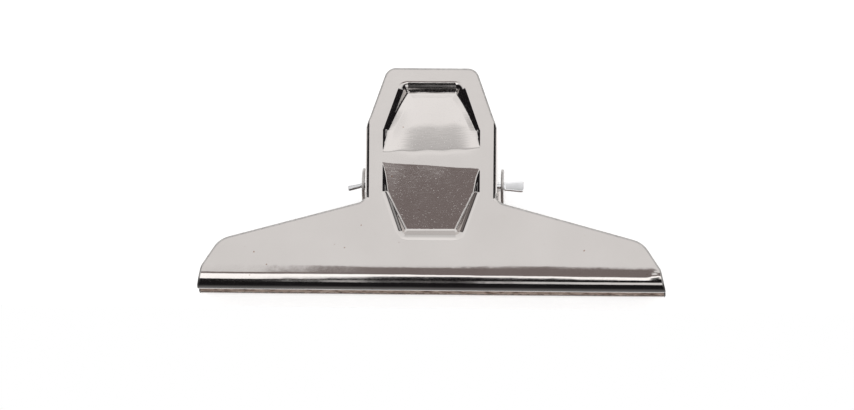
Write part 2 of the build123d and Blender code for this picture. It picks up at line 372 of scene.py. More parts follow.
# Floor, in metres, with a glow that brings it to white where it is seen
FLOOR_REACH = 3.0
FLOOR_FRONT = -0.0305
FLOOR_COLOUR = (0.86, 0.86, 0.86, 1)
FLOOR_ROUGHNESS = 0.9
FLOOR_GLOW = 0.52

Sky = namedtuple("Sky", "tree side outward height lean level")


def smooth_max(a, b, k):
    """The larger of two, rounded over where they are within k of each other."""
    k = np.maximum(k, 1e-6)
    near = np.maximum(k - np.abs(a - b), 0.0) / k
    return np.maximum(a, b) + near * near * k / 4


def smooth_min(a, b, k):
    return -smooth_max(-a, -b, k)


def smooth_step(value, low, high):
    share = np.clip((value - low) / (high - low), 0, 1)
    return share * share * (3 - 2 * share)


def wave(x, v, size, along, up, start):
    return size * np.sin(along * x + up * v + start)


def unit(vectors):
    return vectors / np.maximum(np.linalg.norm(vectors, axis=-1, keepdims=True), 1e-12)


def side_inset(reach, v):
    """How far a point lies inside the slanting upper side of the recess's rim."""
    return (RECESS_HALF + (RECESS_SHOULDER - v) * TAPER - reach) * cos(HANDLE_LEAN)


def recess_inset(x, v):
    """How far a point of the blank lies inside the recess's rim; corners sharpen with depth."""
    reach = np.abs(x)
    edges = (
        RECESS_TOP - v,
        side_inset(reach, v),
        RECESS_HALF - reach,
        (RECESS_HALF + (v + RECESS_WAIST) * TAPER - reach) * cos(HANDLE_LEAN),
        v - RECESS_FOOT,
    )
    inset = edges[0]
    for edge, corner in zip(edges[1:], RECESS_CORNERS):
        sharper = np.clip(1 - np.minimum(inset, edge) / CORNER_FADE, SHARPEST, 1)
        inset = smooth_min(inset, edge, corner * sharper)
    return inset


def wall_depth(x, v, inset):
    """Depth of the recess's wall before its rim is rounded: a shoulder, then steeper and steeper.

    One upper side has no steepest part.
    """
    shoulder = SHOULDER_SLOPE * inset
    wall = SHOULDER_SLOPE * SHOULDER_WIDTH + WALL_SLOPE * (inset - SHOULDER_WIDTH)
    beside = smooth_step(RECESS_TOP - v - side_inset(np.abs(x), v), 0, PLAIN_BLEND)
    plain = np.where(x < 0, beside * smooth_step(v, 0, PLAIN_RISE), 0)
    steep = wall + (STEEP_SLOPE - WALL_SLOPE) * (1 - plain) * (inset - STEEP_FROM)
    return smooth_max(smooth_max(shoulder, wall, WALL_BLEND), steep, STEEP_BLEND)


def bends_depth(v, bends):
    return sum(slope * smooth_max(0 * v, v - height, spread) for height, spread, slope in bends)


def facet_depth(x, v):
    """Depth of the recess's floor: two facets that fall away from the level band between them."""
    up = v - BAND_TOP_TILT * x - wave(x, v, *BAND_TOP_WAVE)
    sides = bends_depth(up, SIDE_BENDS)
    middle = bends_depth(up, MIDDLE_BENDS)
    outer = smooth_step(np.abs(x - MIDDLE_AT), MIDDLE_INSIDE, MIDDLE_OUTSIDE)
    upper = middle + (sides - middle) * outer
    levels = 1 - LOWER_TURN * smooth_step(BAND_BOTTOM - v, 0, LOWER_TURN_RUN)
    edge = BAND_BOTTOM_TILT * x + wave(x, v, *BAND_BOTTOM_WAVE)
    down = BAND_BOTTOM + edge * levels - v
    return upper + LOWER_SLOPE * smooth_max(0 * v, down, CREASE)


def recess_depth(x, v, share):
    """Depth that the recess adds on the outer face (share 0) and the inner face (share 1)."""
    inset = recess_inset(x, v)
    floor = facet_depth(x, v)
    thicker = share * SHEET * (sqrt(1 + WALL_SLOPE ** 2) - 1)
    wall = smooth_max(0 * v, wall_depth(x, v, inset) + thicker, RIM_ROUND)
    foot = SHOULDER_WIDTH + (floor - SHOULDER_SLOPE * SHOULDER_WIDTH) / WALL_SLOPE
    margin = np.maximum(smooth_min((inset - foot) / MARGIN, 1 + 0 * v, MARGIN_CREASE), 0)
    floor = floor + MARGIN_DROP * (margin - 1) * smooth_step(v, *MARGIN_HEIGHTS)
    return smooth_min(wall, floor, np.minimum(FOOT_ROUND, FOOT_SHARE * floor))


def lip_table():
    """Height, depth and angle of the outer face down the blank, through the lip's start."""
    lowest = -WING_DROP - LIP_RADIUS * LIP_SWEEP - LIP_SPARE
    v = np.linspace(lowest, -WING_DROP + LIP_LEAD, LIP_SAMPLES)[::-1]
    angle = smooth_max(0 * v, -WING_DROP - v, LIP_LEAD) / LIP_RADIUS
    step = v[:-1] - v[1:]
    middle = (angle[:-1] + angle[1:]) / 2
    up = v[0] - np.concatenate([[0], np.cumsum(step * np.cos(middle))])
    into = np.concatenate([[0], np.cumsum(step * np.sin(middle))])
    return v[::-1], up[::-1], into[::-1], angle[::-1]


LIP_TABLE = lip_table()


def wing_edge(x):
    return -WING_ROOT - (x - EAR_HALF) * tan(WING_SLOPE)


def waviness(x, v):
    """Unevenness of rolled and pressed sheet, always into the sheet."""
    waves = wave(x, v, *LONG_WAVE_ALONG) * wave(x, v, *LONG_WAVE_UP)
    return WAVE_MEAN + (waves + wave(x, v, *SLANTED_WAVE) + wave(x, v, *FINE_WAVE))


def unevenness(x, v, sunk):
    """How far a jaw leaves its plain form: one wing bowed in, the other lip's end flattened."""
    bow = BOW_SLOPE * smooth_max(0 * x, x - BOW_FROM, BOW_SPREAD)
    flat = smooth_min(sunk, KNOCK_DEPTH + 0 * x, KNOCK_BLEND) * (1 - smooth_step(-v, *KNOCK_HEIGHTS))
    return bow - flat * smooth_step(-x, *KNOCK_ENDS)


def sheet_point(x, v, share, bend):
    """Point of the formed sheet: share is 0 on the outer face, 1 on the inner."""
    reach = np.abs(x)
    past = np.maximum(reach - bend, 0)
    limit = pi / 2 * smooth_step(v + RUN_OUT_LEAN * past, RUN_OUT_LOW, RUN_OUT_HIGH)
    turn = np.minimum(past / EAR_BEND, limit)
    beyond = np.maximum(past - EAR_BEND * limit, 0)
    rolled = np.minimum(v, LIP_TABLE[0][-1])
    face, sunk, roll = (np.interp(rolled, LIP_TABLE[0], column) for column in LIP_TABLE[1:])
    deep = share * SHEET + waviness(x, v) * (1 - 2 * share)
    across = np.minimum(reach, bend) + (EAR_BEND - deep) * np.sin(turn) + beyond * np.cos(limit)
    up = face + v - rolled + deep * np.sin(roll)
    into = np.where(
        roll > 0,
        sunk + deep * np.cos(roll),
        EAR_BEND - (EAR_BEND - deep) * np.cos(turn) + beyond * np.sin(limit),
    )
    into = into + np.where(past > 0, 0, recess_depth(x, v, share))
    into = into + np.where(v < wing_edge(reach) + ROOT_FILLET, unevenness(x, v, sunk), 0)
    return np.stack([np.sign(x) * across, up, into], axis=-1)


def sheet_normal(x, v, share, bend):
    """Direction into the sheet from its outer face."""
    step = 1e-3
    along = sheet_point(x + step, v, share, bend) - sheet_point(x - step, v, share, bend)
    up = sheet_point(x, v + step, share, bend) - sheet_point(x, v - step, share, bend)
    return unit(np.cross(along, up))


def rounded_corner(before, here, after, radius):
    """Points round one corner of an outline."""
    if not radius:
        return [here]
    way_in = (here - before).normalized()
    turn = way_in.angle_signed((after - here).normalized())
    trim = radius * tan(abs(turn) / 2)
    side = Vector((way_in.y, -way_in.x)) * (1 if turn > 0 else -1)
    centre = here - way_in * trim + side * radius
    pieces = max(1, ceil(abs(turn) / CORNER_STEP))
    swings = [turn * k / pieces for k in range(pieces + 1)]
    return [centre + Matrix.Rotation(-swing, 2) @ -side * radius for swing in swings]


def rounded_loop(corners, spacing):
    """Points along a closed outline of (x, y, radius) corners."""
    at = [Vector(corner[:2]) for corner in corners]
    loop = []
    for i, corner in enumerate(corners):
        loop += rounded_corner(at[i - 1], at[i], at[(i + 1) % len(at)], corner[2])
    spaced = []
    for here, after in zip(loop, loop[1:] + loop[:1]):
        length = (after - here).length
        if length >= SHORTEST:
            steps = ceil(length / spacing)
            spaced += [here.lerp(after, k / steps) for k in range(steps)]
    return np.array([tuple(point) for point in spaced])


def loop_outward(loop):
    """Outward directions of a loop that runs with the metal on its right."""
    after = np.roll(loop, -1, axis=0) - loop
    before = loop - np.roll(loop, 1, axis=0)
    way = unit(unit(after) + unit(before))
    return np.stack([-way[:, 1], way[:, 0]], axis=-1)


def both_hands(right):
    """Corners of the right half of an outline, from the top down, with their mirror images."""
    return right + [(-x, v, radius) for x, v, radius in reversed(right)]


def lobe_corner(x, v, bend, side):
    """Where the line from a point to the ear's round end meets the ear's furthest line."""
    out, rise = LOBE_OUT - (x - bend), -v
    aim = atan2(rise, out) + side * asin(LOBE_RADIUS / hypot(out, rise))
    run = out + LOBE_RADIUS
    return (x + run, v + run * tan(aim), LOBE_RADIUS)


def blank_corners(bend, upper):
    """Corners of a flat blank, clockwise: handle, ear, wing and lip."""
    root = bend + ROOT_OUT
    foot = wing_edge(root) + ROOT_FILLET * tan((pi / 2 - WING_SLOPE) / 2)
    end_corner = JAW_HALF - WING_CORNER_INSET
    right = [(HANDLE_TOP_HALF, HANDLE_RISE, HANDLE_CORNER)]
    right += upper
    right += [
        lobe_corner(*upper[-1][:2], bend, 1),
        lobe_corner(root, foot, bend, -1),
        (root, foot, 0),
        (root, wing_edge(root), ROOT_FILLET),
        (end_corner, wing_edge(end_corner), WING_CORNER),
        (JAW_HALF - WING_END_INSET, -WING_DROP, LIP_END_CORNER),
    ]
    for share in LIP_END_SHARES:
        roll = LIP_SWEEP * share
        end = JAW_HALF - WING_END_INSET * (1 - sin(roll))
        right.append((end, -WING_DROP - LIP_RADIUS * roll, 0))
    return both_hands(right)


def recess_corners(inset):
    """Corners of the recess's outline at an inset from its rim."""
    closer = inset / cos(HANDLE_LEAN)
    shift = (closer - inset) / TAPER
    top, foot = RECESS_TOP - inset, RECESS_FOOT + inset
    shoulder = RECESS_HALF + (RECESS_SHOULDER - top) * TAPER - closer
    toe = RECESS_HALF + (foot + RECESS_WAIST) * TAPER - closer
    sharper = max(SHARPEST, 1 - max(inset, 0) / CORNER_FADE)
    at_shoulder, at_side, at_waist, at_toe = RING_CORNERS
    return both_hands([
        (shoulder, top, at_shoulder * sharper),
        (RECESS_HALF - inset, RECESS_SHOULDER - shift, at_side),
        (RECESS_HALF - inset, -RECESS_WAIST + shift, at_waist),
        (toe, foot, at_toe * sharper),
    ])


def inside(points, loop):
    """Which points lie inside a closed loop."""
    a, b = loop, np.roll(loop, -1, axis=0)
    x, y = points[:, :1], points[:, 1:]
    spans = (a[:, 1] > y) != (b[:, 1] > y)
    rise = np.where(b[:, 1] == a[:, 1], 1e-12, b[:, 1] - a[:, 1])
    crossing = a[:, 0] + (y - a[:, 1]) / rise * (b[:, 0] - a[:, 0])
    return (np.sum(spans & (x < crossing), axis=1) % 2) == 1


def in_metal(points, loops):
    """Which points lie inside the first loop and outside the others, which are holes."""
    kept = inside(points, loops[0])
    for hole in loops[1:]:
        kept &= ~inside(points, hole)
    return kept


def grid(xs, vs):
    return np.array([(x, v) for v in vs for x in xs])


def wall_points():
    """Rings of points down the recess's wall, the innermost only above the band."""
    rings = []
    for k, inset in enumerate(np.arange(*RING_INSETS)):
        ring = rounded_loop(recess_corners(inset), RING_SPACING)
        rings.append(ring[(ring[:, 1] > ALL_RINGS_ABOVE) | (k < RINGS_BELOW)])
    return np.concatenate(rings)


def floor_points():
    """Points of the recess's floor: the facets, their creases and the level band."""
    facets = grid(np.arange(*FACET_COLUMNS), np.arange(*FACET_ROWS))
    facets = facets[(facets[:, 1] < CREASES_FROM) | (facets[:, 1] > CREASES_TO)]
    rows = np.concatenate([np.arange(*LOWER_CREASE_ROWS), np.arange(*UPPER_CREASE_ROWS)])
    creases = grid(np.arange(*CREASE_COLUMNS), rows)
    points = np.concatenate([facets, creases, grid(*BAND_POINTS)])
    x, v = points[:, 0], points[:, 1]
    clear = np.select([v > UPPER_FROM, v > BAND_FROM], [UPPER_CLEAR, BAND_CLEAR], LOWER_CLEAR)
    return points[recess_inset(x, v) > clear]


def plate_points(bend):
    """Points of the plain parts of the handle and the wings."""
    points = grid(np.arange(*PLATE_COLUMNS), np.arange(*PLATE_ROWS))
    points = points[recess_inset(points[:, 0], points[:, 1]) < -PLATE_CLEAR]
    reach, height = np.abs(points[:, 0]), points[:, 1]
    return points[(reach < bend - BEND_CLEAR) | (height < wing_edge(reach) - WING_CLEAR)]


def lip_points():
    """Points of the rolled lip, closer together at its ends."""
    columns = np.concatenate([np.arange(*part) for part in LIP_COLUMNS])
    rolls = np.linspace(0, LIP_SWEEP, LIP_ROWS + 1)[:-1]
    return grid(columns, -WING_DROP - LIP_RADIUS * rolls)


def ear_points(bend):
    """Points of the right ear: its bend, then its flat."""
    turn = bend + np.linspace(0, BEND_LENGTH, BEND_COLUMNS)
    flat = bend + BEND_LENGTH + np.arange(*EAR_COLUMNS)
    return np.concatenate([grid(turn, np.arange(*BEND_ROWS)), grid(flat, np.arange(*EAR_ROWS))])


def blank_points(bend):
    """Points that the blank's faces are built on, besides its outline."""
    ear = ear_points(bend)
    mirrored = ear * (-1, 1)
    return np.concatenate(
        [wall_points(), floor_points(), plate_points(bend), lip_points(), ear, mirrored]
    )


def pin_hole(middle):
    """Loop round a pin hole, with the metal outside it."""
    angles = np.arange(HOLE_SIDES) * 2 * pi / HOLE_SIDES
    hole = np.stack([PIN_HOLE * np.cos(angles), PIN_HOLE * np.sin(angles)], axis=-1)
    return hole + (middle, 0)


def loop_ties(loops):
    """Edges that keep each loop whole, as pairs of point numbers."""
    ties = []
    first = 0
    for loop in loops:
        count = len(loop)
        ties += [(first + k, first + (k + 1) % count) for k in range(count)]
        first += count
    return ties


def cut_blank(loops, bend):
    """The flat blank: points, triangles, their middles and the new numbers of its loops' points."""
    border = np.concatenate(loops)
    points = blank_points(bend)
    points = points[in_metal(points, loops)]
    nearest = np.array([np.min(np.hypot(*(border - point).T)) for point in points])
    points = np.concatenate([border, points[nearest > BORDER_CLEAR]])
    corners = [Vector(point) for point in points]
    cut = delaunay_2d_cdt(corners, loop_ties(loops), [], 0, MERGE_WITHIN)
    flat, _, triangles, origins, _, _ = cut
    flat = np.array([tuple(point) for point in flat])
    found = {old: new for new, olds in enumerate(origins) for old in olds}
    middles = np.array([flat[list(triangle)].mean(axis=0) for triangle in triangles])
    kept = in_metal(middles, loops)
    triangles = [triangle for triangle, keep in zip(triangles, kept) if keep]
    return flat, triangles, middles[kept], found


def face_looks(middles):
    """Material of each face of the sheet: plated, pressed, or painted dark as shade at the lip's end."""
    x, v = middles[:, 0], middles[:, 1]
    floor = facet_depth(x, v)
    inset = recess_inset(x, v)
    pressed = (inset > 0) & (floor > PRESSED_FROM) & (wall_depth(x, v, inset) > floor)
    looks = np.where(pressed, PRESSED, PLATED)
    # Painted shade: past this roll the lip's end takes the dark brown material
    return np.where(v < -WING_DROP - LIP_RADIUS * LIP_SHADE_FROM, LIP_SHADE, looks)


def edge_steps():
    """Steps round the sheared edge from the outer face in: angle, share of the thickness, side."""
    arcs = np.linspace(0, pi / 2, EDGE_PIECES + 1)[1:]
    outer = [(arc, EDGE_FALL * (1 - cos(arc)) / SHEET, -1) for arc in arcs]
    inner = [(arc, 1 - EDGE_FALL * (1 - cos(arc)) / SHEET, 1) for arc in reversed(arcs)]
    return outer + inner


def edge_ring(loop, way, bend, angle, share, side):
    """Points and normals of one ring round a sheared edge."""
    at = loop + way * EDGE_RUN * (sin(angle) - 1)
    spots = sheet_point(at[:, 0], at[:, 1], share, bend)
    beyond = at + way * EDGE_PROBE
    tangent = unit(sheet_point(beyond[:, 0], beyond[:, 1], share, bend) - spots)
    into = sheet_normal(at[:, 0], at[:, 1], share, bend)
    return spots, unit(tangent * EDGE_FALL * sin(angle) + into * EDGE_RUN * cos(angle) * side)


def edge_surface(loops, ways, bend, found, count):
    """Points, normals and faces of the sheared edges between two faces of count points each."""
    spots, normals, faces = [], [], []
    total = 2 * count
    first = 0
    for loop, way in zip(loops, ways):
        number = len(loop)
        outer = [found[first + k] for k in range(number)]
        rings = [outer]
        for step in edge_steps():
            ring_spots, ring_normals = edge_ring(loop, way, bend, *step)
            spots.append(ring_spots)
            normals.append(ring_normals)
            rings.append(list(range(total, total + number)))
            total += number
        rings.append([k + count for k in outer])
        for near, far in zip(rings, rings[1:]):
            faces += zip(near, far, far[1:] + far[:1], near[1:] + near[:1])
        first += number
    return spots, normals, faces


def smooth_mesh(name, spots, faces):
    mesh = bpy.data.meshes.new(name)
    mesh.from_pydata((spots / MM_PER_METRE).tolist(), [], faces)
    mesh.polygons.foreach_set("use_smooth", [True] * len(faces))
    mesh.update()
    return mesh


def jaw_mesh(name, bend, upper, place):
    """Mesh of one formed jaw: outer face, inner face and the rounded cut edge between them."""
    loops = [rounded_loop(blank_corners(bend, upper), OUTLINE_SPACING)]
    loops += [pin_hole(side * (bend + LOBE_OUT)) for side in (-1, 1)]
    ways = [loop_outward(loop) for loop in loops]
    insets = [loop - way * EDGE_RUN for loop, way in zip(loops, ways)]
    flat, triangles, middles, found = cut_blank(insets, bend)
    x, v = flat[:, 0], flat[:, 1]
    count = len(flat)
    outer = [tuple(reversed(triangle)) for triangle in triangles]
    inner = [tuple(k + count for k in triangle) for triangle in triangles]
    spots, normals, edges = edge_surface(loops, ways, bend, found, count)
    spots = [sheet_point(x, v, 0, bend), sheet_point(x, v, 1, bend)] + spots
    normals = [-sheet_normal(x, v, 0, bend), sheet_normal(x, v, 1, bend)] + normals
    looks = face_looks(middles)
    looks = np.concatenate([looks, looks, np.full(len(edges), SHEARED)])
    mesh = smooth_mesh(name, place(np.concatenate(spots)), outer + inner + edges)
    mesh.polygons.foreach_set("material_index", looks)
    normals = place(np.concatenate(normals)) - place(np.zeros(3))
    mesh.normals_split_custom_set_from_vertices(normals.tolist())
    return mesh


def rear_place(p):
    """From the rear jaw's plate frame to the row frame."""
    return p + np.array([0, PIVOT.y, 0])


def front_place(p):
    """From the front jaw's plate frame to the row frame: half a turn about the line of symmetry."""
    c, s = cos(2 * SPLAY), sin(2 * SPLAY)
    x, v, n = p[..., 0], p[..., 1], p[..., 2] - PIVOT.z
    return np.stack([-x, v * c + n * s + PIVOT.y, PIVOT.z + v * s - n * c], axis=-1)


def new_piece(name, mesh, *materials):
    piece = bpy.data.objects.new(name, mesh)
    bpy.context.scene.collection.objects.link(piece)
    for material in materials:
        mesh.materials.append(material)
    return piece


def ring_mesh(name, rings):
    """Mesh through closed rings of points, with flat ends and its sharp edges kept."""
    sides = len(rings[0])
    faces = []
    for ring in range(len(rings) - 1):
        near, far = ring * sides, (ring + 1) * sides
        for k in range(sides):
            after = (k + 1) % sides
            faces.append((near + k, near + after, far + after, far + k))
    faces.append(tuple(reversed(range(sides))))
    last = (len(rings) - 1) * sides
    faces.append(tuple(range(last, last + sides)))
    mesh = smooth_mesh(name, np.concatenate(rings), faces)
    mesh.set_sharp_from_angle(angle=SHARP_FROM)
    return mesh


def arm_points(tip, heel, start):
    """Line of an arm: straight, a bend of the wire, straight to the first turn."""
    way_in, way_out = (heel - tip).normalized(), (start - heel).normalized()
    turn = way_in.angle(way_out)
    trim = ARM_BEND * tan(turn / 2)
    bend_start, bend_end = heel - way_in * trim, heel + way_out * trim
    axis = way_in.cross(way_out).normalized()
    centre = bend_start + axis.cross(way_in) * ARM_BEND
    points = [tip.lerp(bend_start, k / ARM_PIECES) for k in range(ARM_PIECES)]
    for k in range(ARM_PIECES + 1):
        swing = Matrix.Rotation(turn * k / ARM_PIECES, 3, axis)
        points.append(centre + swing @ (bend_start - centre))
    return points + [bend_end.lerp(start, k / LEG_PIECES) for k in range(1, LEG_PIECES)]


def coil_points(leave, arrive):
    """Line of the spring's turns from one arm to the other, and half its length along X."""
    sweep = (leave - arrive) % (2 * pi) + 2 * pi * COIL_TURNS
    half = COIL_PITCH * sweep / (2 * pi) / 2
    count = TURN_PIECES * (COIL_TURNS + 1)
    coil = []
    for k in range(count + 1):
        angle = leave - sweep * k / count
        along = half - 2 * half * k / count
        coil.append(Vector((along, COIL_RADIUS * cos(angle), COIL_RADIUS * sin(angle))))
    return coil, half


def spring_line():
    """Centre line of the spring's wire, rear arm first."""
    rise = RECESS_TOP - CAD_UPPER_DEPTH - CAD_BAND_TOP
    tilt = atan(CAD_UPPER_DEPTH / rise)
    reach = RECESS_TOP - CAD_UPPER_DEPTH - ARM_INSET
    lift = (SHEET + WIRE_RADIUS + ARM_CLEARANCE) / cos(tilt)
    tip = Vector((0, reach, (reach - CAD_BAND_TOP) * tan(tilt) + lift - PIVOT.z))
    heel = tip - Vector((0, cos(tilt), sin(tilt))) * ARM_FOOT
    leave = atan2(heel.z, heel.y) - acos(COIL_RADIUS / hypot(heel.y, heel.z))
    coil, half = coil_points(leave, 2 * SPLAY - leave)
    side = Vector((half, 0, 0))
    arm = arm_points(tip + side, heel + side, coil[0])
    facing = Matrix.Rotation(pi, 3, Vector((0, cos(SPLAY), sin(SPLAY))))
    line = arm + coil + [facing @ point for point in reversed(arm)]
    return np.array([tuple(point + PIVOT) for point in line])


def wire_rings(line):
    """Rings of round wire along a line, with chamfered ends."""
    way = unit(np.gradient(line, axis=0))
    angles = np.arange(WIRE_SIDES) * 2 * pi / WIRE_SIDES
    side = unit(np.cross(way[0], WIRE_SIDE_HINT))
    last = len(line) - 1
    rings = []
    for k, (spot, ahead) in enumerate(zip(line, way)):
        side = unit(side - ahead * side.dot(ahead))
        ring = np.outer(np.cos(angles), side) + np.outer(np.sin(angles), np.cross(ahead, side))
        ring = ring * WIRE_RADIUS
        if k == 0:
            rings += [spot + ahead * back + ring * size for back, size in WIRE_CHAMFER]
        elif k == last:
            rings += [spot - ahead * back + ring * size for back, size in reversed(WIRE_CHAMFER)]
        else:
            rings.append(spot + ring)
    return rings


def section(wide, thick, pinch):
    """Points round a section, from an ellipse to a flat with round edges and hollow faces."""
    angles = np.arange(PIN_SIDES) * 2 * pi / PIN_SIDES
    c, s = np.cos(angles), np.sin(angles)
    square = 1 - TAIL_SQUARENESS * pinch
    out = np.abs(c) ** square
    hollow = 1 - TAIL_HOLLOW * pinch * (1 - out ** HOLLOW_POWER)
    return np.sign(c) * out * wide / 2, np.sign(s) * np.abs(s) ** square * hollow * thick / 2


def tail_stations(reach):
    """Distances from the ear at which a tail has a ring."""
    corner = reach - TAIL_CORNER
    stations = list(PINCH_STATIONS)
    stations += list(np.linspace(PINCH_END, corner, TAIL_RINGS))
    turns = np.linspace(0, pi / 2, TAIL_CORNER_RINGS)[1:]
    return stations + [corner + TAIL_CORNER * sin(turn) for turn in turns]


def tail_section(s, reach):
    """Section of a tail at a distance from the ear: a collar, then a fan."""
    pinch = smooth_step(s, PINCH_START, PINCH_END)
    fan = TAIL_ROOT + (TAIL_WIDTH - TAIL_ROOT) * smooth_step(s, FAN_START, reach)
    past = max(s - (reach - TAIL_CORNER), 0.0)
    swell = 1 + COLLAR * (smooth_step(s, *COLLAR_RISE) - smooth_step(s, *COLLAR_FALL))
    wide = (2 * PIN_RADIUS + (fan - 2 * PIN_RADIUS) * pinch) * swell
    wide -= 2 * (TAIL_CORNER - sqrt(max(TAIL_CORNER ** 2 - past ** 2, 0.0)))
    thick = (2 * PIN_RADIUS + (TAIL_THICKNESS - 2 * PIN_RADIUS) * pinch) * swell
    return section(wide, thick, pinch)


def tail_rings(hand, reach, roll, droop):
    """Rings of one pinched tail from the ear outwards."""
    to_lips = Vector((0, -cos(SPLAY), -sin(SPLAY)))
    out = Vector((hand, 0, 0))
    bend = out.cross(to_lips)
    rings = []
    for s in tail_stations(reach):
        lean = Matrix.Rotation(droop * smooth_step(s, *DROOP_RUN), 3, bend)
        ahead = lean @ out
        across = lean @ Vector((0, cos(roll), -sin(roll)))
        through = ahead.cross(across)
        sideways, deep = tail_section(s, reach)
        spot = PIVOT + out * LUG_HALF + ahead * float(s)
        rings.append(np.array(spot) + np.outer(sideways, across) + np.outer(deep, through))
    return rings


def pin_rings():
    """Rings of the pin from its left tail to its right tail."""
    left = tail_rings(-1, LEFT_REACH, LEFT_ROLL, LEFT_DROOP)
    left = [np.roll(ring[::-1], 1, axis=0) for ring in reversed(left)]
    sideways, deep = section(2 * PIN_RADIUS, 2 * PIN_RADIUS, 0.0)
    shank = []
    for share in np.linspace(0, 1, SHANK_RINGS):
        roll = LEFT_ROLL + (RIGHT_ROLL - LEFT_ROLL) * share
        across, through = (0, cos(roll), -sin(roll)), (0, sin(roll), cos(roll))
        spot = np.array(PIVOT) + (LUG_HALF * (2 * share - 1), 0, 0)
        shank.append(spot + np.outer(sideways, across) + np.outer(deep, through))
    return left + shank + tail_rings(1, RIGHT_REACH, RIGHT_ROLL, 0.0)


def add_camera():
    data = bpy.data.cameras.new("camera")
    camera = bpy.data.objects.new("camera", data)
    bpy.context.scene.collection.objects.link(camera)
    bpy.context.scene.camera = camera
    data.sensor_width = SENSOR
    data.lens = SENSOR * DISTANCE / (IMAGE_WIDTH * PIXEL)
    data.clip_start, data.clip_end = CLIP_METRES
    level = TO_CAMERA * cos(PITCH) + PHOTO_UP * sin(PITCH)
    back = level * cos(YAW) + PHOTO_RIGHT * sin(YAW)
    right = PHOTO_UP.cross(back).normalized()
    up = back.cross(right)
    right, up = right * cos(ROLL) + up * sin(ROLL), up * cos(ROLL) - right * sin(ROLL)
    look_at = Vector(front_place(np.array(AIM)).tolist())
    look_at += right * SHIFT_RIGHT * PIXEL + up * SHIFT_UP * PIXEL
    turn = Matrix((right, up, back)).transposed()
    place = Matrix.Translation((look_at + back * DISTANCE) / MM_PER_METRE)
    camera.matrix_world = place @ turn.to_4x4()


def node(tree, kind, *links, **settings):
    """A node with its settings, and its inputs set or linked as (input, value or output)."""
    made = tree.nodes.new(kind)
    for name, value in settings.items():
        setattr(made, name, value)
    for name, value in links:
        if isinstance(value, bpy.types.NodeSocket):
            tree.links.new(value, made.inputs[name])
        else:
            made.inputs[name].default_value = value
    return made


def ramp(tree, factor, stops):
    """A colour ramp of (place, colour) stops; a plain number is a grey."""
    made = node(tree, "ShaderNodeValToRGB", ("Fac", factor))
    elements = made.color_ramp.elements
    for _ in stops[2:]:
        elements.new(0.5)
    for element, (place, colour) in zip(elements, stops):
        element.position = place
        element.color = (*colour, 1) if isinstance(colour, tuple) else (colour, colour, colour, 1)
    return made.outputs["Color"]


def span(tree, value, low, high, start=0.0, end=1.0):
    """A value mapped from low..high to start..end, and held there beyond."""
    limits = (("From Min", low), ("From Max", high), ("To Min", start), ("To Max", end))
    return node(tree, "ShaderNodeMapRange", ("Value", value), *limits).outputs["Result"]


def maths(tree, operation, a, b):
    return node(tree, "ShaderNodeMath", (0, a), (1, b), operation=operation).outputs["Value"]


def mixed(tree, share, a, b):
    """Colour a, turning to colour b where share is 1."""
    a, b = ((*colour, 1) if isinstance(colour, tuple) else colour for colour in (a, b))
    inputs = (("Factor", share), (MIX_A, a), (MIX_B, b))
    return node(tree, "ShaderNodeMix", *inputs, data_type="RGBA").outputs[MIX_RESULT]


def new_material(name, metallic=0.0):
    """A material with nodes, its tree and its shader."""
    material = bpy.data.materials.new(name)
    material.use_nodes = True
    tree = material.node_tree
    shader = tree.nodes["Principled BSDF"]
    shader.inputs["Metallic"].default_value = metallic
    return material, tree, shader


def object_place(tree):
    return node(tree, "ShaderNodeTexCoord").outputs["Object"]


def noise(tree, where, scale, detail, rough=0.5):
    settings = (("Scale", scale), ("Detail", detail), ("Roughness", rough))
    return node(tree, "ShaderNodeTexNoise", ("Vector", where), *settings).outputs["Fac"]


def stretched(tree, where, scale):
    return node(tree, "ShaderNodeMapping", ("Vector", where), ("Scale", scale)).outputs["Vector"]


def bumped(tree, shader, *heights):
    """Bump of a shader from (height, distance) layers."""
    normal = None
    for height, distance in heights:
        settings = (("Strength", 1.0), ("Distance", distance), ("Height", height))
        bump = node(tree, "ShaderNodeBump", *settings)
        if normal:
            tree.links.new(normal, bump.inputs["Normal"])
        normal = bump.outputs["Normal"]
    tree.links.new(normal, shader.inputs["Normal"])


def nickel(name, pressed):
    """Bright nickel plate: faint clouds and ripples, rust specks, and marks where it is pressed."""
    material, tree, shader = new_material(name, metallic=1.0)
    where = object_place(tree)
    tone = ramp(tree, noise(tree, where, *CLOUD_NOISE), NICKEL)
    rust = span(tree, noise(tree, where, *RUST_NOISE), *RUST_LIMITS)
    tree.links.new(mixed(tree, rust, tone, RUST), shader.inputs["Base Color"])
    rough = span(tree, noise(tree, where, *HAZE_NOISE), *HAZE)
    if pressed:
        dots = span(tree, noise(tree, where, *DOT_NOISE), *DOTS)
        drawn = noise(tree, stretched(tree, where, LINE_STRETCH), *LINE_NOISE)
        marks = maths(tree, "MAXIMUM", dots, span(tree, drawn, *LINES))
        rough = maths(tree, "ADD", rough, marks)
    tree.links.new(rough, shader.inputs["Roughness"])
    ripple = noise(tree, stretched(tree, where, RIPPLE_STRETCH), *RIPPLE_NOISE)
    grain = noise(tree, stretched(tree, where, GRAIN_STRETCH), *GRAIN_NOISE)
    grain_bump = PRESSED_GRAIN_BUMP if pressed else PLATE_GRAIN_BUMP
    bumped(tree, shader, (ripple, RIPPLE_BUMP), (grain, grain_bump))
    return material


def cut_edge():
    """Sheared edge of the plate: duller, with the shear's fine grain."""
    material, tree, shader = new_material("sheared_edge", metallic=1.0)
    grain = noise(tree, object_place(tree), *SHEAR_NOISE)
    tree.links.new(ramp(tree, grain, SHEARED_STEEL), shader.inputs["Base Color"])
    tree.links.new(span(tree, grain, *SHEAR_ROUGHNESS), shader.inputs["Roughness"])
    bumped(tree, shader, (grain, SHEAR_BUMP))
    return material


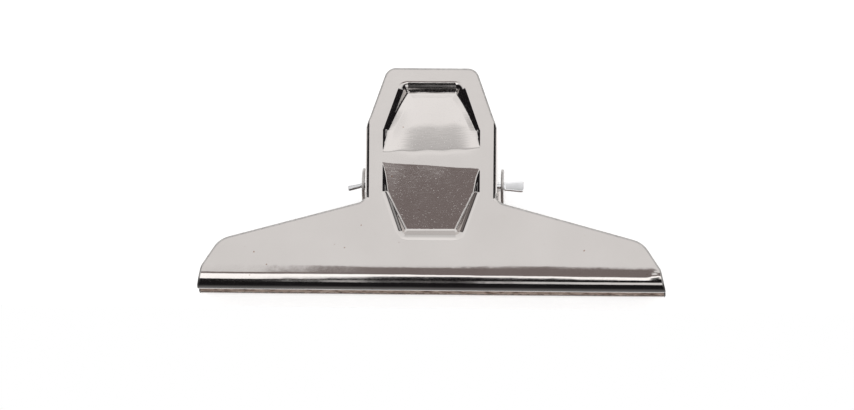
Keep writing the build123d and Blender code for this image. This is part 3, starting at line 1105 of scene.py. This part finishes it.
def lip_painted_shade():
    """Gripping edge of a lip, painted a mottled dark brown as shade, with duller gloss and bumps."""
    material, tree, shader = new_material("lip_painted_shade", metallic=LIP_SHADE_METALLIC)
    blotch = noise(tree, stretched(tree, object_place(tree), BLOTCH_STRETCH), *BLOTCH_NOISE)
    tree.links.new(ramp(tree, blotch, LIP_SHADE_TONES), shader.inputs["Base Color"])
    tree.links.new(span(tree, blotch, *LIP_SHADE_ROUGHNESS), shader.inputs["Roughness"])
    bumped(tree, shader, (blotch, LIP_SHADE_BUMP))
    return material


def steel(name, tones, roughness, drawn, left_shade=None):
    """Drawn steel wire: fine lines, uneven gloss, and painted shade darkening it towards its left end if
    given.
    """
    material, tree, shader = new_material(name, metallic=1.0)
    where = object_place(tree)
    lines = noise(tree, stretched(tree, where, drawn), *DRAWN_NOISE)
    cloud = noise(tree, where, *WIRE_CLOUD_NOISE)
    tone = ramp(tree, cloud, tones)
    # Painted shade: the tone turns grey towards the left end
    if left_shade:
        x = node(tree, "ShaderNodeSeparateXYZ", ("Vector", where)).outputs["X"]
        tone = mixed(tree, span(tree, x, 0.0, -LUG_HALF / MM_PER_METRE), tone, left_shade)
    tree.links.new(tone, shader.inputs["Base Color"])
    tree.links.new(span(tree, cloud, *roughness), shader.inputs["Roughness"])
    bumped(tree, shader, (lines, DRAWN_BUMP), (cloud, WIRE_BUMP))
    return material


def seen_share(tree, path):
    """1 for the rays that show the surroundings: to the camera, off metal and through glass."""
    seen = maths(tree, "MAXIMUM", path.outputs["Is Camera Ray"], path.outputs["Is Glossy Ray"])
    return maths(tree, "MAXIMUM", seen, path.outputs["Is Transmission Ray"])


def along(tree, where, direction):
    kind = "ShaderNodeVectorMath"
    return node(tree, kind, (0, where), (1, direction), operation="DOT_PRODUCT").outputs["Value"]


def sky_values(tree):
    """What the studio is drawn by: a direction's side, height, lean and level in the world."""
    where = node(tree, "ShaderNodeTexCoord").outputs["Generated"]
    side = along(tree, where, PHOTO_RIGHT)
    rise = along(tree, where, PHOTO_UP)
    outward = maths(tree, "ABSOLUTE", side, 0)
    angle = maths(tree, "ARCTAN2", rise, along(tree, where, TO_CAMERA))
    height = maths(tree, "MULTIPLY", angle, 180 / pi)
    lean = maths(tree, "DIVIDE", rise, outward)
    return Sky(tree, side, outward, height, lean, along(tree, where, (0, 0, 1)))


def by_height(sky, stops):
    place = span(sky.tree, sky.height, -180, 180)
    return ramp(sky.tree, place, [((height + 180) / 360, tone) for height, tone in stops])


def by_side(sky, stops):
    """Values by side, near the middle of the jaws."""
    place = span(sky.tree, sky.side, -NARROW, NARROW)
    return ramp(sky.tree, place, [(side / (2 * NARROW) + 0.5, value) for side, value in stops])


def above(sky, edge):
    """1 above an edge of (side, height) points that all lie below 0."""
    shares = by_side(sky, [(side, 1 + height / EDGE_DEEPEST) for side, height in edge])
    limit = span(sky.tree, shares, 0, 1, -EDGE_DEEPEST, 0)
    return span(sky.tree, maths(sky.tree, "SUBTRACT", sky.height, limit), -EDGE_BLUR, EDGE_BLUR)


def between(tree, value, rise, fall):
    """1 between two soft limits, each as (where it is 0, where it is 1)."""
    return maths(tree, "MULTIPLY", span(tree, value, *rise), span(tree, value, *fall))


def card(sky, low, high, start, end):
    """1 on a card beyond the jaws' ends."""
    foot = (low - CARD_LEAN_BLUR, low + CARD_LEAN_BLUR)
    top = (high + CARD_LEAN_BLUR, high - CARD_LEAN_BLUR)
    near = (start, start + CARD_START_BLUR)
    far = (end + CARD_END_BLUR, end - CARD_END_BLUR)
    upright = between(sky.tree, sky.lean, foot, top)
    return maths(sky.tree, "MULTIPLY", upright, between(sky.tree, sky.outward, near, far))


def panels(sky):
    """Panels before the jaws from the bottom up: strip light, lamp, brown card, pale wall."""
    tree = sky.tree
    off_line = maths(tree, "ABSOLUTE", maths(tree, "SUBTRACT", sky.height, LOW_LIGHT_AT), 0)
    strip = maths(tree, "MULTIPLY", span(tree, off_line, *LOW_LIGHT_HALF, 1, 0), by_side(sky, LOW_LIGHT))
    colour = mixed(tree, strip, by_height(sky, LOW_PANEL), WHITE)
    colour = mixed(tree, above(sky, LAMP_FOOT), colour, LAMP)
    colour = mixed(tree, above(sky, CARD_FOOT), colour, BROWN)
    return mixed(tree, above(sky, CARD_TOP), colour, by_height(sky, HIGH_PANEL))


def room(sky):
    """The room beside the panels, paler towards the top."""
    tree = sky.tree
    place = span(tree, sky.level, -1, 1)
    tones = ramp(tree, place, [(level / 2 + 0.5, tone) for level, tone in ROOM])
    return mixed(tree, span(tree, sky.height, *ROOM_FOOT), tones, by_height(sky, LOW_PANEL))


def end_tones(sky):
    """Tones of the end cards, and black before them."""
    tree = sky.tree
    hand = span(tree, sky.side, *LEFT_TO_RIGHT)
    tones = mixed(tree, hand, by_height(sky, LEFT_END), by_height(sky, RIGHT_END))
    return mixed(tree, span(tree, sky.outward, *END_SIDES), BLACK, tones)


def add_studio():
    """The world: the studio to rays off metal, white to the camera, soft light to the rest."""
    world = bpy.data.worlds.new("studio")
    bpy.context.scene.world = world
    world.use_nodes = True
    tree = world.node_tree
    sky = sky_values(tree)
    colour = mixed(tree, between(tree, sky.side, PANELS_LEFT, PANELS_RIGHT), room(sky), panels(sky))
    ends = end_tones(sky)
    for limits in (LOWER_END_CARD, UPPER_END_CARD):
        colour = mixed(tree, card(sky, *limits), colour, ends)
    for limits in DARK_CARDS:
        colour = mixed(tree, card(sky, *limits), colour, BLACK)
    path = node(tree, "ShaderNodeLightPath")
    colour = mixed(tree, path.outputs["Is Glossy Ray"], WHITE, colour)
    strength = span(tree, seen_share(tree, path), 0, 1, DIFFUSE_LEVEL, 1)
    background = tree.nodes["Background"]
    tree.links.new(colour, background.inputs["Color"])
    tree.links.new(strength, background.inputs["Strength"])


def floor_material():
    """Matt pale floor that keeps shadows and is white where it is seen."""
    material, tree, shader = new_material("pale_floor")
    shader.inputs["Base Color"].default_value = FLOOR_COLOUR
    shader.inputs["Roughness"].default_value = FLOOR_ROUGHNESS
    shader.inputs["Specular IOR Level"].default_value = 0.0
    seen = seen_share(tree, node(tree, "ShaderNodeLightPath"))
    glow = node(tree, "ShaderNodeEmission", ("Strength", maths(tree, "MULTIPLY", seen, FLOOR_GLOW)))
    shaders = ((0, shader.outputs["BSDF"]), (1, glow.outputs["Emission"]))
    both = node(tree, "ShaderNodeAddShader", *shaders)
    tree.links.new(both.outputs["Shader"], tree.nodes["Material Output"].inputs["Surface"])
    return material


def add_floor():
    left, right, back = -FLOOR_REACH, FLOOR_REACH, FLOOR_REACH
    corners = [(left, FLOOR_FRONT, 0), (right, FLOOR_FRONT, 0), (right, back, 0), (left, back, 0)]
    mesh = bpy.data.meshes.new("floor")
    mesh.from_pydata(corners, [], [(0, 1, 2, 3)])
    floor = new_piece("floor", mesh, floor_material())


def add_jaw(name, body, bend, upper, place, materials):
    piece = new_piece(name, jaw_mesh(name, bend, upper, place), *materials)
    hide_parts(body)
    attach(piece, body)


def add_jaws():
    """The two jaws; the rear ears stand outside the front ones."""
    plain, pressed = nickel("nickel_plate", pressed=False), nickel("pressed_plate", pressed=True)
    # The last material is the lips' ends painted dark brown as shade
    materials = (plain, cut_edge(), pressed, lip_painted_shade())
    front_bend = EAR_HALF - EAR_BEND
    front_upper = [
        (front_bend, HANDLE_RISE - (front_bend - HANDLE_TOP_HALF) / TAPER, EAR_TOP_CORNER),
        (front_bend + KNEE_DEPTH - EAR_BEND + BEND_LENGTH, KNEE_RISE, KNEE_FILLET),
    ]
    rear_bend = LUG_HALF - EAR_BEND
    rear_side = EAR_HALF - SHEET - EAR_PASS_GAP
    rear_upper = [
        (rear_side, HANDLE_RISE - (rear_side - HANDLE_TOP_HALF) / TAPER, HANDLE_CORNER),
        (rear_side, LOBE_RADIUS, 0),
        (rear_bend, LOBE_RADIUS, 0),
    ]
    add_jaw("front_jaw_sheet", "front_jaw", front_bend, front_upper, front_place, materials)
    add_jaw("rear_jaw_sheet", "rear_jaw", rear_bend, rear_upper, rear_place, materials)


def add_pin():
    # The pin is painted darker towards its left tail as shade
    material = steel("pin_steel", PIN_STEEL, PIN_ROUGHNESS, PIN_STRETCH, PIN_LEFT_SHADE)
    pin = new_piece("pivot_pin_wire", ring_mesh("pivot_pin_wire", pin_rings()), material)
    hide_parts("pivot_pin")
    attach(pin, "pivot_pin")


def add_spring():
    """The spring, twisted along its turns from the rear jaw's arm to the front jaw's."""
    material = steel("spring_steel", SPRING_STEEL, SPRING_ROUGHNESS, SPRING_STRETCH)
    mesh = ring_mesh("torsion_spring_wire", wire_rings(spring_line()))
    spring = new_piece("torsion_spring_wire", mesh, material)
    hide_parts("torsion_spring")
    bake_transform(spring)


add_camera()
add_jaws()
add_pin()
add_spring()
add_studio()
add_floor()
bpy.context.scene.view_settings.view_transform = "Standard"
